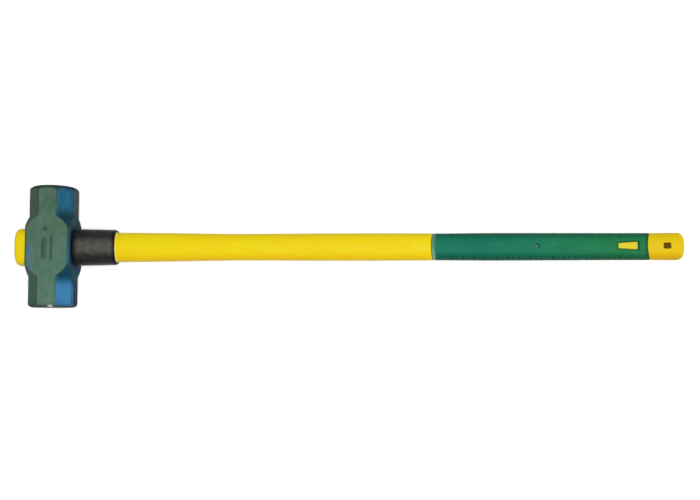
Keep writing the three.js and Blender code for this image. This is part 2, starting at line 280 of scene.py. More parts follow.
def eye_ring(x, inset):
    """The eye's oval at x, shrunk all round by inset."""
    flare = EYE_FLARE * (HEAD_FLAT - x) / (2 * HEAD_FLAT)
    width, depth = EYE_WIDTH + flare - 2 * inset, EYE_DEPTH + flare - 2 * inset
    return oval_ring(width, depth, 2, straight(x))


def rounded_end(width, depth, power, x, radius, toward, count=10):
    """Rings of a quarter-round end at x; toward is -1 for an end at low x, 1 for one at high x."""
    rings = []
    for angle in steps(0, math.pi / 2, count):
        inset = radius * (1 - math.cos(angle))
        along = x + toward * radius * (math.sin(angle) - 1)
        rings.append(oval_ring(width - 2 * inset, depth - 2 * inset, power, straight(along)))
    return rings if toward > 0 else rings[::-1]


def handle_end(table, x, radius, count):
    """Rings of a quarter-round end of the handle's own section at high x."""
    width = width_at(table, x)
    return rounded_end(width, width * SHAFT_ASPECT, SHAFT_POWER, x, radius, 1, count)


def closing_rings(ring, shares=(0.93, 0.78, 0.55, 0.3, 0.1)):
    """Smaller and smaller rings that close a flat end."""
    centre = sum(ring, Vector()) / len(ring)
    return [[centre + (point - centre) * share for point in ring] for share in shares]


def rings_between(first, last, shares):
    """Rings part of the way from one ring to another."""
    return [[a.lerp(b, share) for a, b in zip(first, last)] for share in shares]


def half_turn(into, out):
    """Half the angle between two directions."""
    return math.acos(max(-1, min(1, into.dot(out)))) / 2


def rounded_outline(corners, radius, turn=6, side=10):
    """Points round a convex outline with rounded corners; the corners go anticlockwise."""
    points = []
    count = len(corners)
    for i in range(count):
        before, here, after = corners[i - 1], corners[i], corners[(i + 1) % count]
        into, out = (here - before).normalized(), (after - here).normalized()
        half = half_turn(into, out)
        cut_back = radius * math.tan(half)
        centre = here - into * cut_back + Vector((-into.y, into.x)) * radius
        first = math.atan2(-into.x, into.y)
        for step in steps(0, 2 * half, turn):
            swept = first + step
            points.append(centre + radius * Vector((math.cos(swept), math.sin(swept))))
        following = (corners[(i + 2) % count] - after).normalized()
        next_cut = radius * math.tan(half_turn(out, following))
        begin, finish = here + out * cut_back, after - out * next_cut
        points += [begin + (finish - begin) * share for share in steps(0, 1, side)[1:-1]]
    return points


# -------- helpers for meshes


def skin(name, rings, closed=False):
    """A mesh object through rings of equal counts, capped at both ends or closed on itself."""
    mesh = bmesh.new()
    made = [[mesh.verts.new(point) for point in ring] for ring in rings]
    pairs = list(zip(made, made[1:] + made[:1])) if closed else list(zip(made, made[1:]))
    for first, second in pairs:
        for i in range(len(first)):
            j = (i + 1) % len(first)
            mesh.faces.new((first[i], first[j], second[j], second[i]))
    if not closed:
        mesh.faces.new(made[0][::-1])
        mesh.faces.new(made[-1])
    bmesh.ops.recalc_face_normals(mesh, faces=mesh.faces)
    data = bpy.data.meshes.new(name)
    mesh.to_mesh(data)
    mesh.free()
    piece = bpy.data.objects.new(name, data)
    bpy.context.scene.collection.objects.link(piece)
    return piece


def cut(piece, tool):
    """Cuts piece by tool and removes the tool."""
    change = piece.modifiers.new("cut", "BOOLEAN")
    change.operation = "DIFFERENCE"
    change.solver = "EXACT"
    change.object = tool
    graph = bpy.context.evaluated_depsgraph_get()
    result = bpy.data.meshes.new_from_object(piece.evaluated_get(graph))
    piece.modifiers.clear()
    piece.data = result
    bpy.data.objects.remove(tool)


def measure_all(piece, name, rule):
    """Stores rule(point, normal) on every vertex under that name, for the piece's material."""
    layer = piece.data.attributes.new(name, "FLOAT", "POINT")
    layer.data.foreach_set("value", [rule(v.co, v.normal) for v in piece.data.vertices])


def complete(piece, material, nodes, sharp=35.0):
    """Gives a finished piece its material, smooth shading and body, and hides the CAD nodes it
    stands in for.
    """
    piece.data.materials.clear()
    piece.data.materials.append(material)
    piece.data.shade_smooth()
    piece.data.set_sharp_from_angle(angle=math.radians(sharp))
    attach(piece, "root")
    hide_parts(*nodes)


# -------- helpers for materials


class Finish:
    """A material under construction: its node tree and its Principled shader."""

    def __init__(self, name, roughness, specular=0.5):
        self.material = bpy.data.materials.new(name)
        self.material.use_nodes = True
        self.tree = self.material.node_tree
        self.shader = self.tree.nodes["Principled BSDF"]
        self.shader.inputs["Roughness"].default_value = roughness
        self.shader.inputs["Specular IOR Level"].default_value = specular
        self.place = self.add("ShaderNodeTexCoord").outputs["Object"]

    def add(self, kind, **inputs):
        """A new node with those inputs fed."""
        node = self.tree.nodes.new(kind)
        for key, value in inputs.items():
            self.feed(node.inputs[key], value)
        return node

    def feed(self, socket, value):
        """Links a socket to another node's output, or sets it to a plain value."""
        if isinstance(value, bpy.types.NodeSocket):
            self.tree.links.new(value, socket)
        else:
            socket.default_value = value

    def grain(self, size, detail=3.0, rough=0.55, stretch=(1, 1, 1), where=None):
        """Noise from 0 to 1 whose lumps are about size metres across."""
        scaled = self.add("ShaderNodeMapping", Vector=where or self.place)
        scaled.inputs["Scale"].default_value = stretch
        node = self.add("ShaderNodeTexNoise", Vector=scaled.outputs["Vector"])
        self.feed(node.inputs["Scale"], 1 / size)
        self.feed(node.inputs["Detail"], detail)
        self.feed(node.inputs["Roughness"], rough)
        return node.outputs["Fac"]

    def ramp(self, value, low, high, out_low=0.0, out_high=1.0):
        """value mapped from low..high to out_low..out_high, clamped."""
        node = self.add("ShaderNodeMapRange", Value=value)
        node.interpolation_type = "SMOOTHSTEP"
        numbers = {"From Min": low, "From Max": high, "To Min": out_low, "To Max": out_high}
        for key, number in numbers.items():
            node.inputs[key].default_value = number
        return node.outputs["Result"]

    def sum(self, a, b, operation="ADD"):
        """a and b added, or joined by another operation."""
        node = self.add("ShaderNodeMath")
        node.operation = operation
        self.feed(node.inputs[0], a)
        self.feed(node.inputs[1], b)
        return node.outputs[0]

    def product(self, a, b):
        """a times b."""
        return self.sum(a, b, "MULTIPLY")

    def mix(self, share, a, b):
        """Colour a turned into colour b by share."""
        node = self.add("ShaderNodeMix")
        node.data_type = "RGBA"
        self.feed(node.inputs["Factor"], share)
        self.feed(node.inputs[6], a)
        self.feed(node.inputs[7], b)
        return node.outputs[2]

    def stored(self, name):
        """What measure_all stored on the piece under that name."""
        node = self.add("ShaderNodeAttribute")
        node.attribute_name = name
        return node.outputs["Fac"]

    def moved(self, shift):
        """The place of a point, moved by shift, so that two grains don't match."""
        node = self.add("ShaderNodeMapping", Vector=self.place)
        node.inputs["Location"].default_value = shift
        return node.outputs["Vector"]

    def split(self):
        """The x, y and z of a point on the piece."""
        node = self.add("ShaderNodeSeparateXYZ", Vector=self.place)
        return node.outputs

    def colour(self, value):
        """Feeds the shader's base colour."""
        self.feed(self.shader.inputs["Base Color"], value)

    def roughness(self, value):
        """Feeds the shader's roughness."""
        self.feed(self.shader.inputs["Roughness"], value)

    def bumps(self, *layers):
        """Relief from (height, depth in metres) layers, coarse to fine."""
        normal = None
        for height, depth in layers:
            node = self.add("ShaderNodeBump", Height=height)
            node.inputs["Distance"].default_value = depth
            if normal is not None:
                self.feed(node.inputs["Normal"], normal)
            normal = node.outputs["Normal"]
        self.feed(self.shader.inputs["Normal"], normal)


def tone(red, green, blue):
    """A colour from its screen values, 0 to 255."""
    linear = []
    for value in (red, green, blue):
        share = value / 255
        linear.append(share / 12.92 if share <= 0.04045 else ((share + 0.055) / 1.055) ** 2.4)
    return (*linear, 1.0)


# -------- materials


def head_green(f, along, patch, other, speck):
    """Green enamel, lighter towards the -Y end as painted light, with patches of other greens and
    greys.
    """
    wide = f.grain(0.022, 3)
    # painted light: the green is lighter towards the -Y end
    green = f.mix(f.ramp(along, -0.08, 0.08), tone(75, 107, 92), tone(62, 90, 74))
    green = f.mix(f.ramp(patch, 0.44, 0.68, 0, 0.42), green, tone(54, 100, 58))
    green = f.mix(f.ramp(other, 0.42, 0.66, 0, 0.3), green, tone(96, 104, 94))
    green = f.mix(f.ramp(wide, 0.42, 0.66, 0, 0.3), green, tone(88, 114, 106))
    green = f.mix(f.ramp(speck, 0.50, 0.75, 0, 0.4), green, tone(46, 74, 62))
    cool = f.product(f.ramp(other, 0.38, 0.55), f.stored("cool"))
    green = f.mix(cool, green, tone(64, 100, 122))
    # painted shade on the chamfers away from the handle and the edge of the flat beside them
    return f.mix(f.stored("far"), green, tone(46, 73, 60))


def head_blue(f, along, patch, other):
    """Blue enamel with painted light along the head: bright towards the -Y end, teal towards the
    +Y end and darker right at that end.
    """
    # painted light: brighter blue towards the -Y end
    blue = f.mix(f.ramp(along, -0.05, 0.05), tone(50, 112, 156), tone(24, 83, 104))
    # painted shade: darker near the +Y end
    blue = f.mix(f.ramp(along, 0.070, 0.079, 0, 0.6), blue, tone(12, 62, 84))
    blue = f.mix(f.ramp(patch, 0.42, 0.66, 0, 0.35), blue, tone(26, 76, 120))
    return f.mix(f.ramp(other, 0.45, 0.68, 0, 0.3), blue, tone(58, 102, 132))


def head_side(f, along, paint):
    """The side that the handle comes out of, all painted light and shade: a dark side flat, dark
    run-outs, a pale strip and a dark ring round the collar.
    """
    # painted shade: the side flat darkened, most at the -Y end
    side_shade = f.mix(f.ramp(along, -0.03, 0.05), tone(4, 36, 56), tone(48, 63, 68))
    paint = f.mix(f.stored("side_shade"), paint, side_shade)
    # painted shade on the chamfers' run-outs and on the side by the collar
    deep = f.mix(f.ramp(along, -0.04, 0.03), tone(8, 58, 76), tone(10, 52, 60))
    paint = f.mix(f.stored("shade"), paint, deep)
    # painted light on the strip between the cheek and the collar
    lit = f.mix(f.ramp(along, -0.02, 0.02), tone(52, 98, 116), tone(50, 88, 88))
    paint = f.mix(f.stored("lit"), paint, lit)
    # painted shade round the foot of the collar
    return f.mix(f.stored("root"), paint, tone(8, 34, 54))


def head_paint():
    """Matt green enamel over a rough casting, with blue on the chamfers towards the handle, and
    light and shade painted on it in places.
    """
    f = Finish("head_paint", 0.6, 0.08)
    patch = f.grain(0.0085, 3, 0.45, (1, 0.7, 1))
    other = f.grain(0.0075, 3, 0.45, (1, 0.6, 1), f.moved((0.31, 0.17, 0.05)))
    lumps = f.grain(0.0050, 4, 0.6)
    speck = f.grain(0.0015, 3, 0.6)
    along = f.split()["Y"]
    green = head_green(f, along, patch, other, speck)
    paint = f.mix(f.stored("blue"), green, head_blue(f, along, patch, other))
    paint = head_side(f, along, paint)
    # darker in the stamped marks
    stamp = f.product(f.stored("stamp"), f.ramp(lumps, 0.35, 0.6, 0.55, 1.0))
    paint = f.mix(stamp, paint, tone(36, 50, 44))
    # darker arrises, and painted shade round the striking faces
    edge = f.product(f.stored("edge"), f.ramp(speck, 0.35, 0.65, 0.8, 1.0))
    paint = f.mix(f.product(edge, 0.9), paint, tone(16, 27, 25))
    bare = f.stored("bare")
    f.colour(f.mix(bare, paint, tone(178, 186, 190)))
    f.feed(f.shader.inputs["Metallic"], f.product(bare, 0.5))
    f.roughness(f.sum(f.ramp(patch, 0.3, 0.7, 0.54, 0.68), f.product(bare, 0.2), "SUBTRACT"))
    f.bumps((f.grain(0.009, 3), 0.0006), (lumps, 0.0004), (speck, 0.00012))
    return f.material


def yellow_plastic():
    """Moulded yellow polypropylene, slightly mottled, a little scuffed."""
    f = Finish("yellow_plastic", 0.58, 0.08)
    wide = f.grain(0.040, 2, stretch=(0.4, 1, 1))
    flow = f.grain(0.006, 3, stretch=(0.25, 1, 1))
    fine = f.grain(0.0011, 2)
    base = f.mix(f.ramp(wide, 0.35, 0.65), tone(211, 191, 12), tone(213, 185, 10))
    base = f.mix(f.ramp(flow, 0.5, 0.75, 0, 0.4), base, tone(206, 172, 10))
    place_of = f.split()
    low_side = f.product(f.ramp(place_of["Y"], -0.006, -0.016), f.ramp(place_of["X"], 0, 0.1))
    base = f.mix(f.product(low_side, 0.45), base, tone(214, 164, 8))
    streak = f.grain(0.003, 5, 0.7, (0.3, 1, 1))
    scuff = f.product(f.ramp(streak, 0.6, 0.72), f.stored("wear_and_sheen"))
    base = f.mix(f.product(scuff, 0.6), base, tone(186, 160, 44))
    base = f.mix(f.stored("green"), base, tone(136, 200, 92))
    # a brown film, and on the butt's -Y side painted shade
    base = f.mix(f.stored("dirt_and_shade"), base, tone(140, 88, 4))
    f.colour(base)
    f.roughness(f.sum(f.ramp(flow, 0.3, 0.7, 0.50, 0.64), f.product(scuff, 0.15)))
    f.bumps((flow, 0.00006), (fine, 0.00002))
    return f.material


def black_rubber():
    """Satin black sleeve with a fine moulded grain, a painted highlight along its broad sides and
    painted shade at its root and mouth.
    """
    f = Finish("black_rubber", 0.5, 0.15)
    patch = f.grain(0.007, 3)
    fine = f.grain(0.0009, 2)
    base = f.mix(f.ramp(patch, 0.35, 0.7), tone(26, 25, 26), tone(36, 34, 34))
    # painted shade at the collar's root and mouth
    base = f.mix(f.stored("rim"), base, tone(9, 8, 7))
    # painted highlight along the broad sides; on the yellow pieces the same share marks real
    # scuffs
    sheen = f.product(f.ramp(patch, 0.25, 0.6, 0.6, 1.0), f.stored("wear_and_sheen"))
    f.colour(f.mix(sheen, base, tone(77, 75, 70)))
    f.roughness(f.sum(f.ramp(patch, 0.3, 0.7, 0.42, 0.56), f.product(sheen, 0.1)))
    f.bumps((patch, 0.00008), (fine, 0.00005))
    return f.material


def green_rubber():
    """Teal-green grip rubber, matt, greener towards the butt, with painted shade on its narrow
    sides and in its grooves and a painted highlight at its lip.
    """
    f = Finish("green_rubber", 0.65, 0.08)
    wide = f.grain(0.030, 3, stretch=(0.5, 1, 1))
    patch = f.grain(0.005, 4, 0.6)
    fine = f.grain(0.0008, 2)
    place_of = f.split()
    base = f.mix(f.ramp(place_of["X"], 0.60, 0.80), tone(12, 99, 78), tone(26, 106, 58))
    base = f.mix(f.ramp(wide, 0.4, 0.65, 0, 0.5), base, tone(24, 112, 80))
    base = f.mix(f.ramp(patch, 0.5, 0.72, 0, 0.4), base, tone(12, 88, 68))
    # painted shade: darker towards both narrow sides
    base = f.mix(f.ramp(place_of["Y"], -0.007, -0.017, 0, 0.7), base, tone(6, 68, 52))
    base = f.mix(f.ramp(place_of["Y"], 0.007, 0.017, 0, 0.75), base, tone(10, 76, 54))
    # painted shade in the ribs, the seam, the window groove and the gate's dimple
    base = f.mix(f.stored("groove"), base, tone(6, 50, 38))
    # painted highlight at the lip and a painted glint on the gate's nub
    pale = f.product(f.stored("pale"), f.ramp(patch, 0.3, 0.6, 0.7, 1.0))
    f.colour(f.mix(pale, base, tone(142, 168, 138)))
    f.roughness(f.ramp(patch, 0.3, 0.7, 0.56, 0.72))
    f.bumps((patch, 0.0001), (fine, 0.00006))
    return f.material


def pale_sealant():
    """Cured bead of pale sealant, lumpy, a little glossy."""
    f = Finish("sealant", 0.4, 0.4)
    lump = f.grain(0.002, 3)
    f.colour(f.mix(f.ramp(lump, 0.35, 0.7), tone(214, 196, 66), tone(222, 210, 110)))
    f.roughness(f.ramp(lump, 0.3, 0.7, 0.3, 0.5))
    f.bumps((lump, 0.0003))
    return f.material


def glass_fibre():
    """Pultruded rod: amber resin with pale rovings that run along it."""
    f = Finish("glass_fibre", 0.3, 0.5)
    strands = f.grain(0.0012, 4, 0.7, (0.02, 1, 1))
    fine = f.grain(0.0004, 2, 0.6, (0.03, 1, 1))
    base = f.mix(f.ramp(strands, 0.35, 0.65), tone(196, 160, 96), tone(232, 214, 168))
    f.colour(f.mix(f.ramp(fine, 0.5, 0.7, 0, 0.4), base, tone(150, 116, 66)))
    f.roughness(f.ramp(fine, 0.3, 0.7, 0.25, 0.4))
    f.bumps((strands, 0.0001), (fine, 0.00005))
    return f.material


def epoxy():
    """Poured amber resin with small bubbles."""
    f = Finish("epoxy", 0.15, 0.5)
    cloud = f.grain(0.008, 3)
    bubbles = f.grain(0.0012, 1)
    base = f.mix(f.ramp(cloud, 0.35, 0.65), tone(176, 120, 48), tone(206, 158, 84))
    f.colour(f.mix(f.ramp(bubbles, 0.66, 0.76), base, tone(232, 206, 150)))
    f.roughness(f.ramp(bubbles, 0.5, 0.75, 0.12, 0.35))
    f.bumps((cloud, 0.0002), (bubbles, 0.0001))
    return f.material


# -------- the head's shape


def diagonal_reach(y):
    """How far the head's diagonal flats stand from its axis at y."""
    along = abs(y)
    corner = HEAD_FLAT * math.sqrt(2)
    run, rise = CHAMFER_FOOT - CHAMFER_TOP, corner - HEAD_FLAT
    radius = (run * run + rise * rise) / (2 * rise)
    past = max(along - CHAMFER_TOP, 0.0)
    arc = corner - radius + math.sqrt(max(radius * radius - past * past, 0.0))
    scooped = soft_max(arc, HEAD_FLAT, SCOOP_BLEND)
    return soft_min(scooped, corner - HEAD_ARRIS / math.sqrt(2), ARRIS_BLEND)


def turned_reach(y):
    """The radius to which the bevel round a striking face is turned at y."""
    share = min((HEAD_END - abs(y)) / TURNED_RUN, 1.0)
    return TURNED_FACE + (TURNED_FULL - TURNED_FACE) * (1 - (1 - share) ** 2)


def stamp_share(x, y):
    """1 inside the blank stamped marks of the upper cheek, 0 outside, soft at their edges."""
    disc_x, disc_y, radius = STAMP_DISC
    nearest = math.hypot(x - disc_x, y - disc_y) - radius
    for bar_x, bar_y, width, length in STAMP_BARS:
        corner = 0.45 * width
        dx, dy = abs(x - bar_x) - width / 2 + corner, abs(y - bar_y) - length / 2 + corner
        nearest = min(nearest, box_distance(dx, dy, corner))
    return smooth_step(0.0008, -0.0007, nearest)


def cast_relief(point):
    """How far the cast skin lies under the true flat at a point."""
    coarse = noise.noise(point / 0.016)
    fine = noise.noise(point / 0.005 + Vector((7, 3, 5)))
    return 0.00012 * (1 - 0.7 * coarse - 0.3 * fine)


def head_outline(y):
    """The head's plain section at y, about its own axis, with rounded corners."""
    reaches = [HEAD_FLAT, diagonal_reach(y)]
    tangent = HEAD_FILLET * math.tan(math.pi / 8)
    points = []
    for side in range(8):
        angle = side * math.pi / 4
        reach, neighbour = reaches[side % 2], reaches[(side + 1) % 2]
        half = neighbour * math.sqrt(2) - reach - tangent
        out = Vector((math.cos(angle), 0, math.sin(angle)))
        across = Vector((-math.sin(angle), 0, math.cos(angle)))
        for share in steps(-1, 1, SIDE_POINTS[side] - 1):
            spread = share if side == UPPER_CHEEK else math.sin(share * math.pi / 2)
            points.append(out * reach + across * half * spread)
        centre = out * (reach - HEAD_FILLET) + across * half
        for turn in steps(0, math.pi / 4, 5)[1:-1]:
            swept = angle + turn
            points.append(centre + HEAD_FILLET * Vector((math.cos(swept), 0, math.sin(swept))))
    return points


def head_ring(y):
    """One section of the head, with its turned bevel, its cast skin and its stamps."""
    turned = turned_reach(y)
    ring = []
    for point in head_outline(y):
        if abs(y) > HEAD_END - TURNED_RUN:
            point = point * (soft_min(point.length, turned, TURNED_BLEND) / point.length)
        real = Vector((point.x, y, AXIS_Z + point.z))
        outward = Vector((point.x, 0, point.z)).normalized()
        real -= outward * cast_relief(real)
        if point.z > HEAD_FLAT - 0.001 and abs(y) < CHAMFER_FOOT:
            real.z -= STAMP_DEPTH * stamp_share(real.x, y)
        ring.append(real)
    return ring


def head_stations():
    """Where the head's sections stand along Y: close at the marks, the scoops and the bevels."""
    inner = steps(0, 0.026, 46)
    middle = steps(0.026, 0.046, 26)[1:]
    outer = steps(0.046, HEAD_END - TURNED_RUN, 24)[1:]
    bevel = steps(HEAD_END - TURNED_RUN, HEAD_END, 14)[1:]
    half = inner + middle + outer + bevel
    return [-y for y in half[:0:-1]] + half


# -------- where the head's paint changes, and where light and shade are painted on it


def arris(point):
    """1 on the arrises between the head's flats, 0 away from them."""
    reach = diagonal_reach(point.y)
    height = point.z - AXIS_Z
    depths = [HEAD_FLAT - abs(point.x), HEAD_FLAT - abs(height)]
    depths += [reach - abs(point.x + sign * height) / math.sqrt(2) for sign in (1, -1)]
    return smooth_step(0.0016, 0.0003, sorted(depths)[1])


def bevel_shade(point):
    """Painted shade along the rim of a striking face, and along the lip of its bevel, stronger at
    the +Y end.
    """
    radius = math.hypot(point.x, point.z - AXIS_Z)
    level = min(max((radius - TURNED_FACE) / (TURNED_FULL - TURNED_FACE), 0), 1)
    from_lip = HEAD_END - TURNED_RUN * (1 - math.sqrt(1 - level)) - abs(point.y)
    rim = smooth_step(0.0034, 0.0012, HEAD_END - abs(point.y))
    rim *= 0.4 + 0.5 * smooth_step(0.020, 0.026, radius)
    lip = smooth_step(0.0036, 0.0014, from_lip) * smooth_step(0.026, 0.029, radius)
    return max(rim, lip if point.y > 0 else 0.4 * lip)


def edge_share(point, normal):
    """Darker along the head's arrises, with painted shade round the striking faces."""
    return max(0.4 * arris(point), bevel_shade(point))


def far_side_shade(point, normal):
    """Painted shade on the chamfers away from the handle, and on the edge of the flat beside them.
    """
    beside = smooth_step(-0.0100, -0.0120, point.x) * smooth_step(0.038, 0.046, abs(point.y))
    return 0.7 * max(smooth_step(-0.30, -0.55, normal.x), 0.7 * beside)


def collar_root_shade(point, normal):
    """Painted shade round the foot of the collar, where it meets the head."""
    y, z = point.y, point.z - AXIS_Z
    half = COLLAR_WIDTHS[0][1] / 2
    power = SHAFT_POWER
    size = (abs(y / half) ** power + abs(z / (half * SHAFT_ASPECT)) ** power) ** (1 / power)
    away = (size - 1) * half
    return 0.85 * smooth_step(0.0050, 0.0005, away) * smooth_step(0.010, 0.020, point.x)


def lit_share(point, normal):
    """Painted light on the strip of the handle side between the cheek and the collar."""
    middle = smooth_step(0.030, 0.020, abs(point.y)) * smooth_step(0.0265, 0.0280, point.x)
    return 0.8 * middle * smooth_step(0.0215, 0.0265, point.z - AXIS_Z)


def cool_share(point, normal):
    """A bluish cast low on the edge of the cheek that is away from the handle."""
    return 0.7 * smooth_step(-0.014, -0.026, point.x) * smooth_step(0.012, -0.004, point.y)


def blue_share(point, normal):
    """Blue on the faces that lean towards the handle, strayed a little on to the upper flat."""
    strayed = 0.8 * smooth_step(0.0106, 0.0122, point.x) * smooth_step(0.045, 0.060, point.y)
    strayed *= smooth_step(0.6, 0.8, normal.z)
    return max(smooth_step(0.30, 0.50, normal.x) * smooth_step(0.010, 0.016, point.x), strayed)


def side_shade_share(point, normal):
    """Painted shade on the side that the handle comes out of."""
    spill = smooth_step(-0.045, -0.055, point.y) * smooth_step(0.004, 0.009, point.z - AXIS_Z)
    return smooth_step(0.80, 0.92, normal.x) * (1 - 0.75 * spill)


def shade_share(point, normal):
    """Painted shade on the band where a handle-side chamfer runs out into the cheek, and on the
    side by the collar.
    """
    scoop = smooth_step(0.056, 0.040, abs(point.y)) * smooth_step(0.30, 0.5, normal.x)
    return scoop * smooth_step(0.010, 0.016, point.x)


def stamp_darkening(point, normal):
    """Darker in the blank stamped marks."""
    return 0.65 * stamp_share(point.x, point.y) if point.z > 0.055 else 0.0


def bare_share(point, normal):
    """Bare steel where the paint is chipped off one edge of a striking face."""
    away = point - CHIP
    ragged = 0.0016 * noise.noise(point / 0.0013)
    reach = math.hypot(math.hypot(0.8 * away.x, away.y), away.z)
    return smooth_step(0.0040, 0.0016, reach + ragged)


HEAD_SHARES = {
    "edge": edge_share,
    "far": far_side_shade,
    "root": collar_root_shade,
    "lit": lit_share,
    "cool": cool_share,
    "blue": blue_share,
    "side_shade": side_shade_share,
    "shade": shade_share,
    "stamp": stamp_darkening,
    "bare": bare_share,
}


def head():
    """The forged head, with its flared oval eye."""
    rings = [head_ring(y) for y in head_stations()]
    shares = (0.97, 0.85, 0.6, 0.3, 0.1)
    low, high = closing_rings(rings[0], shares), closing_rings(rings[-1], shares)
    piece = skin("head_casting", low[::-1] + rings + high)
    cut(piece, skin("eye_tool", [eye_ring(x, 0) for x in steps(-EYE_CUT, EYE_CUT, 8)]))
    for name, share in HEAD_SHARES.items():
        measure_all(piece, name, share)
    complete(piece, head_paint(), ["head"], 60)


# -------- eye cap and jacket


def eye_cap(material):
    """The yellow cap outside the eye, its plug in the eye, and the core's bore."""
    crown = rounded_end(CAP_WIDTH, CAP_DEPTH, CAP_POWER, CAP_END, CAP_EDGE, -1)
    rings = closing_rings(crown[0])[::-1] + crown
    for back, less in ((0.006, 0.0), (0.003, 0.0004), (0.0006, 0.001), (0.0, 0.0022)):
        width, depth = CAP_WIDTH - less, CAP_DEPTH - less
        rings.append(oval_ring(width, depth, CAP_POWER, straight(-SEAT - back)))
    plug_inset = 2 * GAP + EPOXY_WALL
    plug_end = CAP_PLUG_END - GAP
    rings += [eye_ring(x, plug_inset) for x in steps(-SEAT, plug_end, 6)]
    rings += [round_ring(CORE_RADIUS + GAP, x) for x in steps(plug_end, CORE_START - GAP, 6)]
    piece = skin("eye_cap_knob", rings)
    measure_all(piece, "wear_and_sheen", lambda point, normal: smooth_step(-0.040, -0.048, point.x))
    complete(piece, material, ["eye_cap"])


def jacket(material):
    """The yellow jacket: a spigot in the eye, the bare shaft, and a tenon under the grip."""
    reach = GRIP_START_ARC - GAP
    rings = [eye_ring(x, 2 * GAP + EPOXY_WALL) for x in steps(CAP_PLUG_END, SEAT, 6)]
    rings += [handle_ring(SHAFT_WIDTHS, x) for x in steps(SEAT, START_CENTRE, 120)]
    for share in steps(0, 1, 10)[1:-1] + [0.985]:
        part_arch = arch(START_CENTRE, reach, share)
        rings.append(handle_ring(SHAFT_WIDTHS, START_CENTRE + share * reach, 0.0, part_arch))
    whole_arch = arch(START_CENTRE, reach)
    rings.append(handle_ring(SHAFT_WIDTHS, START_CENTRE + reach, SEAM_EDGE, whole_arch))
    tenon = GRIP_WALL + GAP
    rings.append(handle_ring(GRIP_WIDTHS, GRIP_START, tenon, whole_arch))
    last = TONGUE_START - GAP
    rings += [handle_ring(GRIP_WIDTHS, x, tenon) for x in steps(GRIP_START + 0.002, last, 40)]
    rings += [round_ring(CORE_RADIUS + GAP, x) for x in steps(last, CAP_PLUG_END, 40)]
    piece = skin("shaft_jacket_shell", rings, closed=True)
    measure_all(piece, "wear_and_sheen", lambda point, normal: 0.25)
    complete(piece, material, ["shaft_jacket"])


# -------- collar and sealant


def collar_sheen(point, normal):
    """Painted highlight along the middle of the broad sides, short of the rim."""
    broad = smooth_step(0.0150, 0.0030, abs(point.y)) * smooth_step(0.5, 0.8, abs(normal.z))
    ends = smooth_step(0.0330, 0.0385, point.x)
    ends *= smooth_step(COLLAR_END - 0.001, COLLAR_END - 0.005, point.x)
    return 0.85 * broad * ends


def collar_shade(point, normal):
    """Painted shade at the collar's root against the head, and at the rounded rim of its mouth."""
    root = 0.9 * smooth_step(0.0355, 0.0325, point.x)
    return max(root, smooth_step(COLLAR_END - 0.0050, COLLAR_END - 0.0025, point.x))


def collar():
    """The rubber collar: rounded at its root and mouth, with a recess for the sealant."""
    rings = []
    for turn in steps(0, math.pi / 2, 6):
        inset, run = COLLAR_ROOT * (1 - math.sin(turn)), COLLAR_ROOT * (1 - math.cos(turn))
        rings.append(handle_ring(COLLAR_WIDTHS, SEAT + run, inset))
    between = steps(SEAT + COLLAR_ROOT, COLLAR_END - COLLAR_RIM, 24)[1:-1]
    rings += [handle_ring(COLLAR_WIDTHS, x) for x in between]
    rings += handle_end(COLLAR_WIDTHS, COLLAR_END, COLLAR_RIM, 8)
    recess = COLLAR_END - COUNTERBORE_DEPTH
    mouth = -GAP - COUNTERBORE_WALL
    rings += [handle_ring(SHAFT_WIDTHS, x, mouth) for x in (COLLAR_END, recess)]
    rings += [handle_ring(SHAFT_WIDTHS, x, -GAP) for x in steps(recess, SEAT, 12)]
    piece = skin("collar_sleeve", rings, closed=True)
    measure_all(piece, "wear_and_sheen", collar_sheen)
    measure_all(piece, "rim", collar_shade)
    complete(piece, black_rubber(), ["collar"])


def collar_bead():
    """Sealant in the collar's mouth, with the unevenness of a bead run by hand."""
    start = COLLAR_END - COUNTERBORE_DEPTH + GAP
    end = COLLAR_END + BEAD_STANDING
    profile = [
        (start, -GAP), (start, -COUNTERBORE_WALL), (COLLAR_END, -COUNTERBORE_WALL),
        (COLLAR_END + 0.0003, -0.00088), (COLLAR_END + 0.0007, -0.0008),
        (COLLAR_END + 0.0011, -0.0006), (end, -GAP),
    ]
    rings = []
    for x, inset in profile:
        ring = handle_ring(SHAFT_WIDTHS, x, inset)
        for point in ring:
            wobble = noise.noise(Vector((0, point.y, point.z)) / 0.006)
            point.x += 0.0004 * (wobble - 0.6) * smooth_step(COLLAR_END - 0.0002, end, x)
        rings.append(ring)
    piece = skin("collar_bead_run", rings, closed=True)
    complete(piece, pale_sealant(), ["collar_bead"])


# -------- the grip


def rib_depth(x, y, width):
    """How deep the cross grooves in the grip's narrow sides are at a point."""
    share = abs(y) / (width / 2)
    side = smooth_step(0.60, 0.84, share) * smooth_step(0.995, 0.94, share)
    along = (x - RIB_START) / RIB_PITCH
    if side == 0 or not -0.4 < along < RIB_COUNT - 0.6:
        return 0.0
    main = abs(along - round(along)) * RIB_PITCH
    half_way = abs(along - math.floor(along) - 0.5) * RIB_PITCH
    main_cut = RIB_DEPTH * smooth_step(0.0021, 0.0006, main)
    small_cut = 0.45 * RIB_DEPTH * smooth_step(0.0016, 0.0004, half_way)
    return side * max(main_cut, small_cut)


def cut_ribs(ring):
    """Moves the points of a ring of the grip into the cross grooves."""
    width = width_at(GRIP_WIDTHS, ring[0].x)
    for point in ring:
        depth = rib_depth(point.x, point.y, width)
        if depth:
            point -= Vector((0, point.y, point.z - AXIS_Z)).normalized() * depth


def surface_z(x, y, inset=0.0):
    """The height of the grip's upper side at (x, y)."""
    width = width_at(GRIP_WIDTHS, x)
    half, rise = width / 2 - inset, width * SHAFT_ASPECT / 2 - inset
    return AXIS_Z + rise * (1 - (abs(y) / half) ** SHAFT_POWER) ** (1 / SHAFT_POWER)


